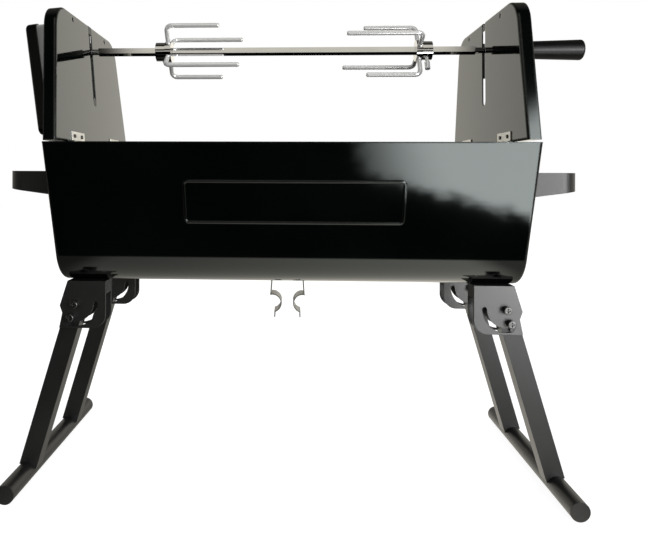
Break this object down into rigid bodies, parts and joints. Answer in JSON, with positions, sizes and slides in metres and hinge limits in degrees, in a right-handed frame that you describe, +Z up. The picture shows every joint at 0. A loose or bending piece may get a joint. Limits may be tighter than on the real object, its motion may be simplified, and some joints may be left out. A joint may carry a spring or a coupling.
{
  "type": "charcoal spit roaster",
  "caption": "Portable charcoal spit roaster: black trough on folding legs, folding end panels, and a motor-driven spit with forks and a grip.",
  "frame": {"origin": "on the floor under the middle of the trough", "axes": "+X along the spit towards the grip, +Y away from the front, +Z up"},
  "size_m": [0.733, 0.3, 0.5834],
  "materials": {
    "enamel": "gloss black enamel",
    "powder_coat": "satin black powder coat",
    "zinc": "zinc plated",
    "dark_screws": "black oxide",
    "spring_steel": "bright spring steel",
    "chrome": "polished chrome plate",
    "black_plastic": "moulded, fine texture",
    "grey_plastic": "moulded, satin",
    "grate_steel": "heat resistant black",
    "cell_jacket": "plain shrink jacket"
  },
  "bodies": {
    "trough": {"trough": "enamel", "charcoal_grate": "grate_steel", "left_lower_hinge_leaves": "zinc", "right_lower_hinge_leaves": "zinc", "left_handle": "powder_coat", "right_handle": "powder_coat", "handle_screws": "dark_screws", "front_left_bracket": "powder_coat", "rear_left_bracket": "powder_coat", "front_right_bracket": "powder_coat", "rear_right_bracket": "powder_coat", "bracket_bolts": "zinc", "screw_bushes": "black_plastic", "pivot_screws": "zinc", "lock_screws": "zinc", "pivot_nuts": "zinc", "spring_clip": "spring_steel", "clip_rivets": "zinc"},
    "left_panel": {"left_end_panel": "enamel", "left_upper_hinge_leaves": "zinc", "left_hinge_pins": "zinc", "left_leaf_screws": "dark_screws"},
    "right_panel": {"right_end_panel": "enamel", "right_upper_hinge_leaves": "zinc", "right_hinge_pins": "zinc", "right_leaf_screws": "dark_screws", "spit_rest": "powder_coat", "rest_rivets": "zinc"},
    "left_leg": {"left_leg_bars": "powder_coat", "left_guide_pins": "zinc", "left_foot_tube": "powder_coat", "left_foot_caps": "black_plastic"},
    "right_leg": {"right_leg_bars": "powder_coat", "right_guide_pins": "zinc", "right_foot_tube": "powder_coat", "right_foot_caps": "black_plastic"},
    "motor_unit": {"motor_hanger": "powder_coat", "motor_housing": "grey_plastic", "motor_cover": "black_plastic", "cover_screws": "dark_screws", "gear_motor": "zinc", "battery_cells": "cell_jacket"},
    "switch": {"power_switch": "black_plastic"},
    "spit": {"spit_rod": "chrome", "spit_grip": "black_plastic", "drive_socket": "zinc"},
    "left_fork": {"left_fork_hub": "chrome", "left_fork_tines": "chrome"},
    "left_thumb_screw": {"left_fork_screw": "chrome"},
    "right_fork": {"right_fork_hub": "chrome", "right_fork_tines": "chrome"},
    "right_thumb_screw": {"right_fork_screw": "chrome"}
  },
  "joints": [
    {"name": "left_leg_fold", "type": "hinge", "parent": "trough", "child": "left_leg", "pos_m": [-0.2603, 0, 0.22], "axis": [0, -1, 0], "range_deg": [0, 106.5]},
    {"name": "right_leg_fold", "type": "hinge", "parent": "trough", "child": "right_leg", "pos_m": [0.2603, 0, 0.22], "axis": [0, 1, 0], "range_deg": [0, 106.5]},
    {"name": "spit_lift", "type": "slide", "parent": "trough", "child": "motor_unit", "axis": [0, 0, 1], "range_m": [0, 0.19]},
    {"name": "left_panel_fold", "type": "hinge", "parent": "trough", "child": "left_panel", "pos_m": [-0.2578, 0, 0.4182], "axis": [0, 1, 0], "range_deg": [0, 94.5]},
    {"name": "right_panel_fold", "type": "hinge", "parent": "trough", "child": "right_panel", "pos_m": [0.2578, 0, 0.4182], "axis": [0, -1, 0], "range_deg": [0, 89.5]},
    {"name": "spit_spin", "type": "hinge", "parent": "motor_unit", "child": "spit", "pos_m": [0, 0, 0.546], "axis": [1, 0, 0], "continuous": true},
    {"name": "switch_rock", "type": "hinge", "parent": "motor_unit", "child": "switch", "pos_m": [-0.34178, 0, 0.54232], "axis": [0, 1, 0], "range_deg": [0, 12]},
    {"name": "left_fork_slide", "type": "slide", "parent": "spit", "child": "left_fork", "axis": [1, 0, 0], "range_m": [-0.06, 0.06]},
    {"name": "left_thumb_screw_turn", "type": "hinge", "parent": "left_fork", "child": "left_thumb_screw", "pos_m": [-0.1725, 0, 0.546], "axis": [0, 0.9397, -0.342], "range_deg": [0, 360]},
    {"name": "right_fork_slide", "type": "slide", "parent": "spit", "child": "right_fork", "axis": [1, 0, 0], "range_m": [-0.06, 0.06]},
    {"name": "right_thumb_screw_turn", "type": "hinge", "parent": "right_fork", "child": "right_thumb_screw", "pos_m": [0.1835, 0, 0.546], "axis": [0, -0.342, -0.9397], "range_deg": [0, 360]}
  ],
  "couplings": [
    {"joint": "left_panel_fold", "follows": "spit_lift", "rad_per_m": 8.68},
    {"joint": "right_panel_fold", "follows": "spit_lift", "rad_per_m": 8.22}
  ]
}
